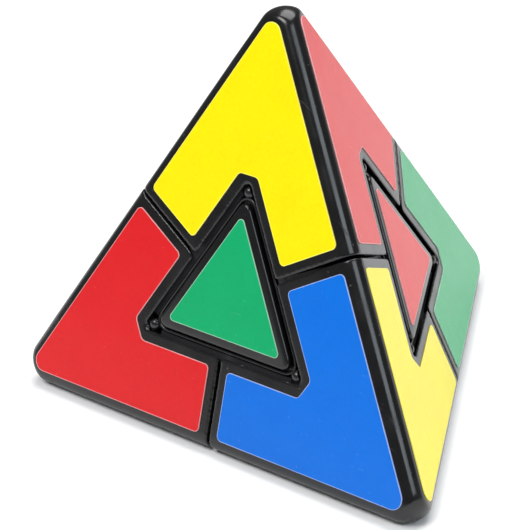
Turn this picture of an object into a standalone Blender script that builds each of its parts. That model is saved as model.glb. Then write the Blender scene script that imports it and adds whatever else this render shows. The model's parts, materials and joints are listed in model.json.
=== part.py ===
"""Pyramid twisty puzzle: a tetrahedron whose four corners turn about a spherical core.

Sizes are in millimetres and are turned into metres as meshes are made. Every piece is modelled in
the centre frame, whose origin is the middle of the core, with one vertex straight up. Empties at
the core's centre then place the copies: one for each vertex, and one for each edge.
"""
from math import acos, asin, cos, pi, radians, sin, sqrt

import bmesh
import bpy
from mathutils import Matrix, Vector

MM = 0.001

# Driving dimensions, in millimetres
EDGE = 98.0              # edge of the sharp tetrahedron before its edges are rounded
EDGE_RADIUS = 2.4        # rounding of its edges
VERTEX_TIP = 53.5        # core to the tip of a vertex
VERTEX_R = 5.35          # rounding of the tip, from one edge to the next
HOLE_APOTHEM = 10.4      # centre of a face to the side of its triangular opening
HALF_GAP = 0.25          # half of the gap between any two pieces that slide on each other
BALL_R = 14.5            # core ball
SLIDER_INNER_R = 14.9    # inside of the sliders and face bases, which run on the ball
SLIDER_OUTER_R = 19.5    # outside of the edge sliders
CORNER_INNER_R = 20.0    # inside of the corner pieces, which run on the sliders
TONGUE_IN, TONGUE_OUT, TONGUE_REACH = 16.7, 18.3, 0.8   # rim of a face base, held under sliders
WALL = 2.2               # corner shell
LEDGE_DEPTH = 1.8        # face base below the plane of the face
CAP_APOTHEM = 9.0        # raised triangle of a face
CAP_FOOT = 0.35          # gap between a cap and its base
CAP_SOFTENING = 0.45     # bevel of its edges
CELL_TOP = 6.0           # inner end of a face base before the ball is cut out of it
PEG_R, PEG_HOLE_R, PEG_DEPTH, PEG_ROOT = 2.2, 2.5, 2.4, 0.2
STICKER_GAP, STICKER_T = 0.10, 0.25
EDGE_BORDER, SEAM_BORDER, HOLE_BORDER, CAP_BORDER = 3.3, 2.1, 2.2, 1.65
HUB_R, HUB_TOP, HUB_GAP = 7.0, 33.0, 0.3
SCREW_R, SCREW_HOLE_R, BORE_R, THREAD_DEPTH, HOLE_BEYOND = 1.1, 1.25, 1.5, 7.0, 0.5
POCKET_R, POCKET_FLOOR = 3.4, 26.0
SPRING_R, WIRE_R, SPRING_TURNS = 2.4, 0.4, 4
SPRING_TOP, WASHER_R, WASHER_T = 33.6, 3.2, 0.6
HEAD_R, HEAD_H, SLOT_W, SLOT_DEPTH = 2.8, 2.0, 0.7, 1.1
TURN_STEPS = 36          # sides of a full turn of the large swept surfaces

INRADIUS = EDGE * sqrt(6) / 12
TILT_COS, TILT_SIN = 1 / 3, 2 * sqrt(2) / 3     # between one vertex axis and the face opposite another
CUT = TILT_SIN * HOLE_APOTHEM - INRADIUS / 3    # the cut plane of a vertex lies this far beyond the core
CENTRE_HEIGHT = INRADIUS + STICKER_GAP + STICKER_T
FAR = 70.0               # beyond the whole object

AXES = {"top": Vector((0, 0, 1))}
for _name, _azimuth in (("left", 210), ("right", 330), ("back", 90)):
    _angle = radians(_azimuth)
    AXES[_name] = Vector((TILT_SIN * cos(_angle), TILT_SIN * sin(_angle), -TILT_COS))
FACE_OPPOSITE = {"top": "base", "left": "right", "right": "left", "back": "front"}

BLACK = (0.012, 0.012, 0.014)
COLOURS = {
    "yellow": (1.0, 0.86, 0.0), "red": (0.80, 0.03, 0.035),
    "blue": (0.0, 0.19, 0.82), "green": (0.012, 0.42, 0.16),
}
# colour of the sticker that each corner piece has on each face, and of each face's centre
CORNER_COLOURS = {
    "top": {"front": "yellow", "right": "red", "left": "blue"},
    "left": {"front": "red", "left": "green", "base": "blue"},
    "right": {"front": "blue", "right": "yellow", "base": "green"},
    "back": {"right": "green", "left": "yellow", "base": "red"},
}
CENTRE_COLOURS = {"front": "green", "right": "red", "left": "yellow", "base": "blue"}


# ---------------------------------------------------------------- scene and materials

def clear_scene():
    for obj in list(bpy.data.objects):
        bpy.data.objects.remove(obj, do_unlink=True)


def collection(name):
    made = bpy.data.collections.new(name)
    bpy.context.scene.collection.children.link(made)
    return made


def material(name, colour, roughness, metallic=0.0):
    made = bpy.data.materials.new(name)
    made.use_nodes = True
    shader = made.node_tree.nodes["Principled BSDF"]
    shader.inputs["Base Color"].default_value = (*colour, 1.0)
    shader.inputs["Roughness"].default_value = roughness
    shader.inputs["Metallic"].default_value = metallic
    return made


# ---------------------------------------------------------------- modelling helpers

def cutter(name, mesh, matrix=None):
    """A hidden object that only shapes other pieces."""
    obj = bpy.data.objects.new(name, mesh)
    obj.matrix_world = matrix or Matrix.Identity(4)
    obj.hide_render = True
    obj.display_type = "WIRE"
    CUTTERS.objects.link(obj)
    return obj


def mesh_from_bmesh(name, bm):
    mesh = bpy.data.meshes.new(name)
    bmesh.ops.recalc_face_normals(bm, faces=bm.faces)
    bm.to_mesh(mesh)
    bm.free()
    return mesh


def boolean(obj, operation, other, solver="EXACT"):
    """Cut, keep or join with another object, by a Boolean modifier."""
    step = obj.modifiers.new(operation.lower(), "BOOLEAN")
    step.operation = operation
    step.solver = solver
    step.object = other


def frozen(obj, name):
    """The mesh of an object after its modifiers, with coincident points merged."""
    bpy.context.view_layer.update()
    graph = bpy.context.evaluated_depsgraph_get()
    mesh = bpy.data.meshes.new_from_object(obj.evaluated_get(graph))
    mesh.name = name
    bm = bmesh.new()
    bm.from_mesh(mesh)
    bmesh.ops.remove_doubles(bm, verts=bm.verts, dist=0.002 * MM)
    bmesh.ops.dissolve_degenerate(bm, edges=bm.edges, dist=0.002 * MM)
    bm.to_mesh(mesh)
    bm.free()
    return mesh


def three_sided(name, radius_low, radius_high, z_low, z_high, turned=False):
    """A three-sided frustum on the Z axis. Its first corner points along +Y, or -Y if turned."""
    bm = bmesh.new()
    place = Matrix.Translation((0, 0, (z_low + z_high) / 2 * MM))
    if turned:
        place = place @ Matrix.Rotation(pi, 4, "Z")
    bmesh.ops.create_cone(
        bm, cap_ends=True, segments=3, radius1=radius_low * MM, radius2=radius_high * MM,
        depth=(z_high - z_low) * MM, matrix=place)
    bmesh.ops.remove_doubles(bm, verts=bm.verts, dist=0.001 * MM)
    return cutter(name, mesh_from_bmesh(name, bm))


def rounded_tetrahedron(name, inset):
    """The whole outside, with its top vertex rounded, and all of it moved inwards by inset."""
    inradius = INRADIUS - inset
    obj = three_sided(name, 2 * sqrt(2) * inradius, 0, -inradius, 3 * inradius)
    bevel = obj.modifiers.new("rounded edges", "BEVEL")
    bevel.width = (EDGE_RADIUS - inset) * sqrt(2) * MM
    bevel.segments = 3
    bevel.limit_method = "NONE"
    rounded = cutter(name, frozen(obj, name))
    slant = asin(sqrt(1 / 3))
    radius = VERTEX_R - inset
    middle = VERTEX_TIP - inset - radius
    angles = [pi / 2 + (slant - pi / 2) * i / 5 for i in range(6)]
    nose = [(radius * cos(angle), middle + radius * sin(angle)) for angle in angles]
    nose[0] = (0.0, middle + radius)
    nose.append((nose[-1][0] + 2 * FAR * sin(slant), nose[-1][1] - 2 * FAR * cos(slant)))
    nose.append((0.0, nose[-1][1]))
    boolean(rounded, "INTERSECT", turned(name + "_nose", nose, 24), "MANIFOLD")
    return rounded


def ball(name, radius, subdivisions=3):
    bm = bmesh.new()
    bmesh.ops.create_icosphere(bm, subdivisions=subdivisions, radius=radius * MM)
    return cutter(name, mesh_from_bmesh(name, bm))


def rod(name, radius, z_low, z_high, sides=24):
    bm = bmesh.new()
    bmesh.ops.create_cone(
        bm, cap_ends=True, segments=sides, radius1=radius * MM, radius2=radius * MM,
        depth=(z_high - z_low) * MM, matrix=Matrix.Translation((0, 0, (z_low + z_high) / 2 * MM)))
    return cutter(name, mesh_from_bmesh(name, bm))


def block(name, size_x, size_y, z_low, z_high):
    bm = bmesh.new()
    place = Matrix.Translation((0, 0, (z_low + z_high) / 2 * MM))
    size = Matrix.Diagonal((size_x * MM, size_y * MM, (z_high - z_low) * MM, 1))
    bmesh.ops.create_cube(bm, size=1.0, matrix=place @ size)
    return cutter(name, mesh_from_bmesh(name, bm))


def turned(name, profile, steps, axis="top"):
    """A solid of revolution about a vertex axis, from (radius, height) points, top to bottom."""
    mesh = bpy.data.meshes.new(name)
    points = [(radius * MM, 0, height * MM) for radius, height in profile]
    mesh.from_pydata(points, [(i, i + 1) for i in range(len(points) - 1)], [])
    obj = cutter(name, mesh)
    screw = obj.modifiers.new("turn", "SCREW")
    screw.steps = screw.render_steps = steps
    screw.use_merge_vertices = True
    screw.merge_threshold = 0.00001
    screw.use_smooth_shade = False
    made = frozen(obj, name)
    bm = bmesh.new()
    bm.from_mesh(made)
    bmesh.ops.recalc_face_normals(bm, faces=bm.faces)
    bm.to_mesh(made)
    bm.free()
    return cutter(name, made, vertex_turn(axis))


def offset_outline(points, offset):
    """An open (radius, height) outline moved sideways to its left, with mitred corners."""
    lines = []
    for (ax, ay), (bx, by) in zip(points, points[1:]):
        length = sqrt((bx - ax) ** 2 + (by - ay) ** 2)
        nx, ny = -(by - ay) / length, (bx - ax) / length
        lines.append((Vector((ax + nx * offset, ay + ny * offset)), Vector((bx - ax, by - ay)) / length))
    made = [lines[0][0]]
    for (p, u), (q, v) in zip(lines, lines[1:]):
        cross = u.x * v.y - u.y * v.x
        reach = ((q.x - p.x) * v.y - (q.y - p.y) * v.x) / cross if abs(cross) > 1e-6 else (q - p).dot(u)
        made.append(p + u * reach)
    made.append(Vector(points[-1]) + lines[-1][0] - Vector(points[-2]))
    return [tuple(point) for point in made]


# ---------------------------------------------------------------- geometry of the cuts

def vertex_turn(name):
    """The half turn of the tetrahedron that brings the top vertex to the named one."""
    if name == "top":
        return Matrix.Identity(4)
    return Matrix.Rotation(pi, 4, AXES["top"] + AXES[name])


def edge_turn(first, second):
    """The turn of the tetrahedron that brings its top-back edge to the named edge."""
    def frame(a, b):
        out = (AXES[a] + AXES[b]).normalized()
        along = (AXES[a] - AXES[b]).normalized()
        return Matrix((out, along, out.cross(along))).transposed()
    return (frame(first, second) @ frame("top", "back").transposed()).to_4x4()


def on_face(opposite, toward, distance):
    """A point of the face opposite one vertex, at a distance from its middle towards another."""
    middle = -AXES[opposite] * INRADIUS
    return middle + (AXES[toward] * 3 * INRADIUS - middle).normalized() * distance


def sweep_profile(clearance):
    """Outline of all that turns with the top corner, grown by a clearance, from top to bottom.

    Seen on the right-hand face, it follows the seam from the edge to the opening, the side of the
    opening down to its lower corner, and then the flat cut plane back to the axis.
    """
    def radial(point):
        return (point.xy.length, point.z)
    edge_middle = (AXES["top"] + AXES["back"]) * 1.5 * INRADIUS
    corner_up = on_face("left", "top", 2 * HOLE_APOTHEM)
    corner_back = on_face("left", "back", 2 * HOLE_APOTHEM)
    side_middle = (corner_up + corner_back) / 2
    steps = 4
    seam = [radial(edge_middle.lerp(side_middle, i / steps)) for i in range(steps)]
    side = [radial(side_middle.lerp(corner_back, i / steps)) for i in range(steps + 1)]
    outer = (edge_middle.xy.length, edge_middle.z)
    beyond = (outer[0] * 1.5, outer[1] * 1.5)
    outline = [beyond] + seam + side + [(0.0, side[-1][1])]
    grown = offset_outline(outline, clearance)
    return [(0.0, FAR), (grown[0][0], FAR)] + grown


def sweep(axis, clearance, name="sweep"):
    return turned(f"{name}_{axis}", sweep_profile(clearance), TURN_STEPS, axis)


def grooved_half(axis):
    """What must stay clear of a static slider as a corner turns: its half, and the tongue's ring."""
    floor = -CUT - HALF_GAP
    groove = floor - TONGUE_REACH
    inner = TONGUE_IN - 2 * HALF_GAP
    outer = TONGUE_OUT + HALF_GAP
    ring_in = sqrt(inner ** 2 - groove ** 2)
    ring_out = sqrt(outer ** 2 - floor ** 2)
    profile = [
        (0, FAR), (FAR, FAR), (FAR, floor), (ring_out, floor), (ring_out, groove), (ring_in, groove),
        (ring_in, floor), (0, floor)]
    return turned(f"grooved_half_{axis}", profile, TURN_STEPS, axis)


def face_cell(name, cut, depth_in, depth_out):
    """The three-sided cell under the base face, bounded by the other three cut planes."""
    def corner_radius(depth):
        return 2 * (depth * TILT_COS + cut) / TILT_SIN
    return three_sided(name, corner_radius(depth_out), corner_radius(depth_in), -depth_out, -depth_in)


# ---------------------------------------------------------------- pieces, each made once

def corner_block(name, inset):
    """The top corner as one solid, with all its walls moved inwards by inset."""
    obj = rounded_tetrahedron(name, inset)
    apex = (HALF_GAP + inset) * sqrt(1.5)
    slope = 2 * sqrt(2)
    wedge = three_sided(name + "_wedge", 0, slope * FAR, apex, apex + FAR, turned=True)
    boolean(obj, "INTERSECT", wedge, "MANIFOLD")
    for axis in ("left", "right", "back"):
        boolean(obj, "DIFFERENCE", sweep(axis, HALF_GAP + inset, name + "_sweep"), "MANIFOLD")
    boolean(obj, "DIFFERENCE", ball(name + "_ball", CORNER_INNER_R + inset), "MANIFOLD")
    return cutter(name, frozen(obj, name))


def corner_shell_mesh(solid, hollow):
    obj = cutter("corner_shell_blank", solid.data)
    boolean(obj, "DIFFERENCE", hollow)
    boolean(obj, "DIFFERENCE", rod("hub_opening", HUB_R + HUB_GAP, 0, HUB_TOP + HUB_GAP, 32))
    return frozen(obj, "corner_shell")


def corner_hub_mesh(solid):
    obj = cutter("corner_hub_blank", solid.data)
    boolean(obj, "INTERSECT", rod("hub_outside", HUB_R, 0, HUB_TOP, 32))
    boolean(obj, "DIFFERENCE", rod("screw_bore", BORE_R, 0, FAR))
    boolean(obj, "DIFFERENCE", rod("spring_pocket", POCKET_R, POCKET_FLOOR, FAR))
    return frozen(obj, "corner_hub")


def edge_slider_mesh():
    obj = ball("edge_slider_blank", SLIDER_OUTER_R)
    for axis in ("top", "back"):
        outline = [(0, FAR), (FAR, FAR), (FAR, -CUT + HALF_GAP), (0, -CUT + HALF_GAP)]
        boolean(obj, "INTERSECT", turned(f"slider_half_{axis}", outline, 16, axis))
    for axis in ("left", "right"):
        boolean(obj, "DIFFERENCE", grooved_half(axis))
    boolean(obj, "DIFFERENCE", ball("slider_seat", SLIDER_INNER_R))
    return frozen(obj, "edge_slider")


def face_base_mesh():
    ledge = INRADIUS - LEDGE_DEPTH
    tongue = face_cell("face_tongue", CUT + TONGUE_REACH - HALF_GAP, CELL_TOP, ledge - 1)
    boolean(tongue, "INTERSECT", ball("tongue_outside", TONGUE_OUT))
    boolean(tongue, "DIFFERENCE", ball("tongue_inside", TONGUE_IN))
    rim = cutter("tongue_rim", frozen(tongue, "tongue_rim"))
    obj = face_cell("face_base_blank", CUT - HALF_GAP, CELL_TOP, ledge)
    boolean(obj, "UNION", rim)
    boolean(obj, "DIFFERENCE", ball("base_seat", SLIDER_INNER_R))
    boolean(obj, "DIFFERENCE", rod("peg_hole", PEG_HOLE_R, -FAR, 0))
    return frozen(obj, "face_base")


def face_cap_mesh():
    foot = INRADIUS - LEDGE_DEPTH + CAP_FOOT
    plate = three_sided("face_cap_blank", 2 * CAP_APOTHEM, 2 * CAP_APOTHEM, -INRADIUS, -foot)
    bevel = plate.modifiers.new("soft edges", "BEVEL")
    bevel.width = CAP_SOFTENING * MM
    bevel.segments = 2
    body = cutter("face_cap_plate", frozen(plate, "face_cap_plate"))
    boolean(body, "UNION", rod("cap_peg", PEG_R, -foot - PEG_ROOT, -foot + PEG_DEPTH))
    return frozen(body, "face_cap")


def screw_mesh():
    low = BALL_R - THREAD_DEPTH
    head = SPRING_TOP + WASHER_T + 2 * HALF_GAP
    profile = [
        (0, head + HEAD_H), (HEAD_R * 0.6, head + HEAD_H * 0.9), (HEAD_R, head + HEAD_H * 0.4),
        (HEAD_R, head), (SCREW_R, head), (SCREW_R, low + 1), (SCREW_R * 0.4, low), (0, low)]
    obj = turned("screw_blank", profile, 20)
    top = head + HEAD_H
    for long_x, long_y in ((HEAD_R * 1.3, SLOT_W), (SLOT_W, HEAD_R * 1.3)):
        boolean(obj, "DIFFERENCE", block("driver_slot", long_x, long_y, top - SLOT_DEPTH, top + 1))
    return frozen(obj, "screw")


def washer_mesh():
    low = SPRING_TOP + HALF_GAP
    outline = [
        (BORE_R, low + WASHER_T), (WASHER_R, low + WASHER_T), (WASHER_R, low), (BORE_R, low),
        (BORE_R, low + WASHER_T)]
    return frozen(turned("washer_blank", outline, 24), "washer")


def spring_mesh():
    """A compression spring, as a round wire along a helix with closed ends."""
    low = POCKET_FLOOR + WIRE_R + 0.1
    high = SPRING_TOP - WIRE_R
    per_turn = 8
    count = SPRING_TURNS * per_turn + 1
    curve = bpy.data.curves.new("spring_wire", "CURVE")
    curve.dimensions = "3D"
    curve.bevel_depth = WIRE_R * MM
    curve.bevel_resolution = 1
    curve.use_fill_caps = True
    spline = curve.splines.new("POLY")
    spline.points.add(count - 1)
    for i, point in enumerate(spline.points):
        angle = 2 * pi * i / per_turn
        height = low + (high - low) * i / (count - 1)
        point.co = (SPRING_R * cos(angle) * MM, SPRING_R * sin(angle) * MM, height * MM, 1)
    obj = bpy.data.objects.new("spring_wire", curve)
    CUTTERS.objects.link(obj)
    mesh = frozen(obj, "spring")
    bpy.data.objects.remove(obj, do_unlink=True)
    return mesh


def core_mesh():
    """The ball, with a drilled hole for each of the four screws."""
    obj = ball("core_blank", BALL_R)
    for axis in AXES:
        hole = rod(f"screw_hole_{axis}", SCREW_HOLE_R, BALL_R - THREAD_DEPTH - HOLE_BEYOND, FAR)
        hole.matrix_world = vertex_turn(axis)
        boolean(obj, "DIFFERENCE", hole)
    return frozen(obj, "core")


# ---------------------------------------------------------------- stickers

def inset_outline(corners, insets):
    """A closed outline with each side moved inwards by its own inset. Side i starts at corner i."""
    made = []
    count = len(corners)
    for i in range(count):
        before, here, after = corners[i - 1], corners[i], corners[(i + 1) % count]
        u = (here - before).normalized()
        v = (after - here).normalized()
        p = here + Vector((-u.y, u.x)) * insets[i - 1]
        q = here + Vector((-v.y, v.x)) * insets[i]
        cross = u.x * v.y - u.y * v.x
        made.append(p + u * (((q.x - p.x) * v.y - (q.y - p.y) * v.x) / cross))
    return made


def rounded_outline(corners, radii, segments=3):
    """A closed outline with an arc at each corner."""
    made = []
    count = len(corners)
    for i in range(count):
        here = corners[i]
        u = (corners[i - 1] - here).normalized()
        v = (corners[(i + 1) % count] - here).normalized()
        half = acos(max(-1.0, min(1.0, u.dot(v)))) / 2
        middle = here + (u + v).normalized() * (radii[i] / sin(half))
        start = here + u * (radii[i] / (sin(half) / cos(half))) - middle
        end = here + v * (radii[i] / (sin(half) / cos(half))) - middle
        for step in range(segments + 1):
            part = start.lerp(end, step / segments)
            made.append(middle + part.normalized() * radii[i])
    return made


def plate_mesh(name, outline):
    """A thin sticker under the base face, from a flat outline."""
    curve = bpy.data.curves.new(name, "CURVE")
    curve.dimensions = "2D"
    curve.fill_mode = "BOTH"
    curve.extrude = STICKER_T / 2 * MM
    spline = curve.splines.new("POLY")
    spline.points.add(len(outline) - 1)
    for point, place in zip(spline.points, outline):
        point.co = (place.x * MM, place.y * MM, 0, 1)
    spline.use_cyclic_u = True
    obj = bpy.data.objects.new(name, curve)
    CUTTERS.objects.link(obj)
    mesh = frozen(obj, name)
    bpy.data.objects.remove(obj, do_unlink=True)
    mesh.transform(Matrix.Translation((0, 0, -(INRADIUS + STICKER_GAP + STICKER_T / 2) * MM)))
    return mesh


def corner_sticker_mesh():
    """The sticker that the back corner has on the base face: a kite with the opening's notch."""
    def at(distance, angle):
        return Vector((distance * cos(radians(angle)), distance * sin(radians(angle))))
    face_apothem = EDGE / (2 * sqrt(3))
    corners = [
        at(2 * face_apothem, 90), at(face_apothem, 150), at(HOLE_APOTHEM, 150),
        at(2 * HOLE_APOTHEM, 90), at(HOLE_APOTHEM, 30), at(face_apothem, 30)]
    insets = [EDGE_BORDER, SEAM_BORDER, HOLE_BORDER, HOLE_BORDER, SEAM_BORDER, EDGE_BORDER]
    radii = [3.0, 1.5, 1.5, 0.8, 1.5, 1.5]
    return plate_mesh("corner_sticker", rounded_outline(inset_outline(corners, insets), radii))


def face_sticker_mesh():
    radius = 2 * (CAP_APOTHEM - CAP_BORDER)
    corners = [Vector((radius * cos(radians(a)), radius * sin(radians(a)))) for a in (90, 210, 330)]
    return plate_mesh("face_sticker", rounded_outline(corners, [0.9] * 3))


# ---------------------------------------------------------------- assembly

def empty(name, matrix, parent=None):
    made = bpy.data.objects.new(name, None)
    PARTS.objects.link(made)
    made.parent = parent
    made.matrix_local = matrix
    return made


def place(name, mesh, parent, finish, turn=None):
    """A copy of a piece's mesh, held by an empty at the centre of the core."""
    obj = bpy.data.objects.new(name, mesh.copy())
    obj.data.materials.clear()
    obj.data.materials.append(finish)
    obj.data.shade_smooth()
    obj.data.set_sharp_from_angle(angle=radians(30))
    PARTS.objects.link(obj)
    obj.parent = parent
    obj.matrix_local = turn or Matrix.Identity(4)
    return obj


def sticker_turn(vertex, face_opposite):
    """From the back corner's sticker on the base face to a corner's sticker on another face."""
    out = -AXES[face_opposite]
    up = (AXES[vertex] - out * AXES[vertex].dot(out)).normalized()
    return Matrix((up.cross(-out), up, -out)).transposed().to_4x4()


def assemble():
    black = material("black_plastic", BLACK, 0.25)
    steel = material("steel", (0.55, 0.56, 0.58), 0.35, 1.0)
    inner = material("inner_plastic", (0.02, 0.02, 0.022), 0.45)
    vinyl = {name: material(f"{name}_vinyl", colour, 0.4) for name, colour in COLOURS.items()}

    centre = empty("puzzle_centre", Matrix.Translation((0, 0, CENTRE_HEIGHT * MM)))
    solid = corner_block("corner_solid", 0.0)
    hollow = corner_block("corner_hollow", WALL)
    corner_pieces = {
        "corner_shell": (corner_shell_mesh(solid, hollow), black),
        "corner_hub": (corner_hub_mesh(solid), inner),
        "core_screw": (screw_mesh(), steel),
        "screw_washer": (washer_mesh(), steel),
        "corner_spring": (spring_mesh(), steel),
    }
    face_pieces = {"face_base": (face_base_mesh(), inner), "face_cap": (face_cap_mesh(), black)}
    corner_sticker, face_sticker = corner_sticker_mesh(), face_sticker_mesh()

    place("core_ball", core_mesh(), centre, inner)
    for vertex in AXES:
        hinge = empty(f"axis_{vertex}", vertex_turn(vertex), centre)
        for name, (mesh, finish) in corner_pieces.items():
            place(f"{name}_{vertex}", mesh, hinge, finish)
        face = FACE_OPPOSITE[vertex]
        for name, (mesh, finish) in face_pieces.items():
            place(f"{name}_{face}", mesh, hinge, finish)
        place(f"face_sticker_{face}", face_sticker, hinge, vinyl[CENTRE_COLOURS[face]])
        for opposite, side in FACE_OPPOSITE.items():
            if opposite != vertex:
                colour = vinyl[CORNER_COLOURS[vertex][side]]
                turn = sticker_turn(vertex, opposite)
                place(f"sticker_{vertex}_{side}", corner_sticker, centre, colour, turn)
    slider = edge_slider_mesh()
    names = list(AXES)
    for i, first in enumerate(names):
        for second in names[i + 1:]:
            holder = empty(f"edge_{first}_{second}", edge_turn(first, second), centre)
            place(f"edge_slider_{first}_{second}", slider, holder, inner)


clear_scene()
PARTS = collection("pyramid_puzzle")
CUTTERS = collection("cutters")
assemble()
bpy.context.view_layer.update()
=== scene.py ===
"""Pyramid twisty puzzle: the finished look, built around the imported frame.

The frame gives the place of every piece. The corner shells, raised triangles, their bases, the edge
sliders and all the stickers are modelled again here, finely, and the other inner pieces keep their
frame meshes with better finishes. Sizes are in millimetres, and meshes are made in metres.
"""
from __future__ import annotations

import json
import logging
import math
from collections.abc import Callable
from dataclasses import dataclass
from enum import Enum
from typing import Any

import bmesh
import bpy
from mathutils import Matrix, Vector

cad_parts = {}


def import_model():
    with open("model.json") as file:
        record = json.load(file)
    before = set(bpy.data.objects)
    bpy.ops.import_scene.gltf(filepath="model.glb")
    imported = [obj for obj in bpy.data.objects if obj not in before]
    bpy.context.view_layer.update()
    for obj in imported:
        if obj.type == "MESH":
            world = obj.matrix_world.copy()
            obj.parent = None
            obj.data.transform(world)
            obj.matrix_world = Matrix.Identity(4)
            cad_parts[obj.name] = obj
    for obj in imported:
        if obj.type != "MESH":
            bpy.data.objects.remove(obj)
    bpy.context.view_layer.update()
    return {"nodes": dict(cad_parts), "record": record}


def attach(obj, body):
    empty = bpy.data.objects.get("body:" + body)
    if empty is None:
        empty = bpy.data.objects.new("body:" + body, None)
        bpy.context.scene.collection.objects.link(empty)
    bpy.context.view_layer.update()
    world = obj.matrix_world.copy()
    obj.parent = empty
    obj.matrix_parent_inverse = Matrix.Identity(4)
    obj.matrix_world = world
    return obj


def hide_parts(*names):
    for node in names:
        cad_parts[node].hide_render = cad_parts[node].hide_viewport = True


LOG = logging.getLogger("pyramid_puzzle")
MM = 0.001
NEARLY = MM / 1000                      # two heights closer than this are the same
TILT_SIN = 2 * math.sqrt(2) / 3         # sine of the angle between two axes of the puzzle
PARALLEL = 1e-6                         # sine of an angle too small for two lines to meet
Object = bpy.types.Object
Tree = bpy.types.ShaderNodeTree
Socket = bpy.types.NodeSocket
Edge = bmesh.types.BMEdge
Outline = list[Vector]
Rgb = tuple[float, float, float]


def tilted_axis(azimuth: float) -> Vector:
    """The direction of a base vertex from the core, at an azimuth in degrees."""
    angle = math.radians(azimuth)
    return Vector((TILT_SIN * math.cos(angle), TILT_SIN * math.sin(angle), -1 / 3))


class Colour(Enum):
    """Sticker colours, as linear red, green and blue."""

    YELLOW = (0.95, 0.81, 0.0)
    RED = (0.72, 0.013, 0.017)
    BLUE = (0.0, 0.160, 0.72)
    GREEN = (0.003, 0.40, 0.142)

    @property
    def slot(self) -> str:
        """The record's material slot of this colour."""
        return f"{self.name.lower()}_vinyl"


class Corner(Enum):
    """The four vertices of the puzzle, each with the direction of its axis."""

    TOP = (0.0, 0.0, 1.0)
    LEFT = tuple(tilted_axis(210))
    RIGHT = tuple(tilted_axis(330))
    BACK = tuple(tilted_axis(90))

    @property
    def label(self) -> str:
        """The name used by the frame."""
        return self.name.lower()

    @property
    def axis(self) -> Vector:
        """Unit vector from the core to the vertex."""
        return Vector(self.value).normalized()

    @property
    def turn(self) -> Matrix:
        """The half turn that brings the top corner to this one."""
        if self is Corner.TOP:
            return Matrix.Identity(4)
        return Matrix.Rotation(math.pi, 4, Corner.TOP.axis + self.axis)


class Side(Enum):
    """The four faces of the puzzle, each named with the vertex opposite it."""

    BASE = Corner.TOP
    RIGHT = Corner.LEFT
    LEFT = Corner.RIGHT
    FRONT = Corner.BACK

    @property
    def label(self) -> str:
        """The name used by the frame."""
        return self.name.lower()

    @property
    def outward(self) -> Vector:
        """Unit vector out of the face."""
        return -self.value.axis

    def corner_turn(self, corner: Corner) -> Matrix:
        """The turn from the back corner of the base face to a corner of this face.

        Args:
            corner: A vertex of this face.

        Returns:
            A pure rotation about the core.
        """
        out = self.outward
        up = (corner.axis - out * corner.axis.dot(out)).normalized()
        return Matrix((up.cross(-out), up, -out)).transposed().to_4x4()


CORNER_COLOURS: dict[Corner, dict[Side, Colour]] = {
    Corner.TOP: {Side.FRONT: Colour.YELLOW, Side.RIGHT: Colour.RED, Side.LEFT: Colour.BLUE},
    Corner.LEFT: {Side.FRONT: Colour.RED, Side.LEFT: Colour.GREEN, Side.BASE: Colour.BLUE},
    Corner.RIGHT: {Side.FRONT: Colour.BLUE, Side.RIGHT: Colour.YELLOW, Side.BASE: Colour.GREEN},
    Corner.BACK: {Side.RIGHT: Colour.GREEN, Side.LEFT: Colour.YELLOW, Side.BASE: Colour.RED},
}
TRIANGLE_COLOURS: dict[Side, Colour] = {
    Side.FRONT: Colour.GREEN, Side.RIGHT: Colour.RED, Side.LEFT: Colour.YELLOW, Side.BASE: Colour.BLUE,
}


# ------------------------------------------------------------------ modelling by operators

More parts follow.
